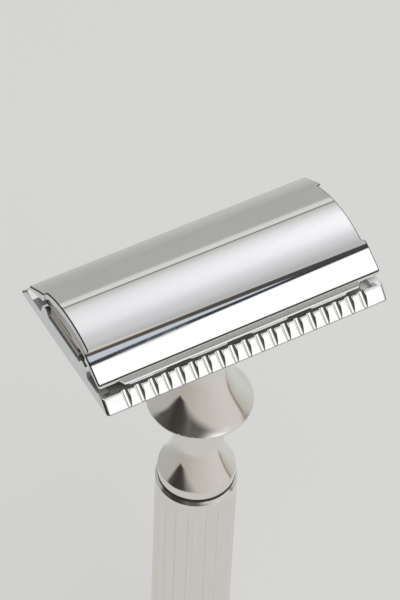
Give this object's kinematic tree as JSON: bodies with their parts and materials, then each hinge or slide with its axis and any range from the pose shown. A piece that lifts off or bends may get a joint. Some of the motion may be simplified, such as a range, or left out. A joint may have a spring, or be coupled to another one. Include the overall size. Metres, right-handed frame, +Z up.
{
  "type": "safety razor",
  "caption": "Adjustable double-edge safety razor: domed pull-off cap, bent blade on a crowned bed, grooved safety bars, bell collar that sets the blade gap, fluted handle and flared foot.",
  "frame": {"origin": "centre of the foot's flat face, on which the razor stands", "axes": "+Z up the handle to the head, +X along the head, -Y the front; the head is the same front and back"},
  "size_m": [0.0436, 0.025, 0.0982],
  "materials": {
    "polished_chrome": "mirror polished chrome plate",
    "satin_steel": "satin stainless steel",
    "brushed_nickel": "brushed plate",
    "blade_steel": "satin ground spring steel",
    "brass_slug": "plain turned",
    "seal_rubber": "matte",
    "index_paint": "matt black fill"
  },
  "bodies": {
    "handle": {"foot": "polished_chrome", "foot_gasket": "seal_rubber", "grip_sleeve": "polished_chrome", "balance_weight": "brass_slug", "top_gasket": "seal_rubber", "handle_stem": "polished_chrome", "scale_ring": "polished_chrome", "stop_pin": "satin_steel", "spindle": "satin_steel", "drag_ring": "seal_rubber", "blade_bed": "brushed_nickel", "bed_screw": "satin_steel", "catch_clip_left": "satin_steel", "catch_clip_right": "satin_steel", "catch_screws": "satin_steel"},
    "guard": {"guard_plate": "polished_chrome", "guard_hub": "polished_chrome", "hub_screws": "satin_steel", "thrust_washer": "brass_slug", "guard_spring": "satin_steel"},
    "collar": {"adjuster_collar": "polished_chrome", "index_dot": "index_paint"},
    "blade": {"blade": "blade_steel"},
    "cap": {"cap_shell": "polished_chrome", "cap_post_left": "satin_steel", "cap_post_right": "satin_steel"}
  },
  "joints": [
    {"name": "guard_rise", "type": "slide", "parent": "handle", "child": "guard", "axis": [0, 0, 1], "range_m": [-0.00041666, 0.00027777], "deforming": ["guard_spring"]},
    {"name": "adjuster_turn", "type": "hinge", "parent": "guard", "child": "collar", "pos_m": [0, 0, 0.075], "axis": [0, 0, 1], "range_deg": [-150, 100]},
    {"name": "cap_lift", "type": "slide", "parent": "handle", "child": "cap", "axis": [0, 0, 1], "range_m": [0, 0.02], "deforming": ["catch_clip_left", "catch_clip_right"]},
    {"name": "blade_lift", "type": "slide", "parent": "handle", "child": "blade", "axis": [0, 0, 1], "range_m": [0, 0.01]}
  ],
  "couplings": [
    {"joint": "adjuster_turn", "follows": "guard_rise", "rad_per_m": 6283.2},
    {"joint": "blade_lift", "follows": "cap_lift", "ratio": 0.5}
  ]
}
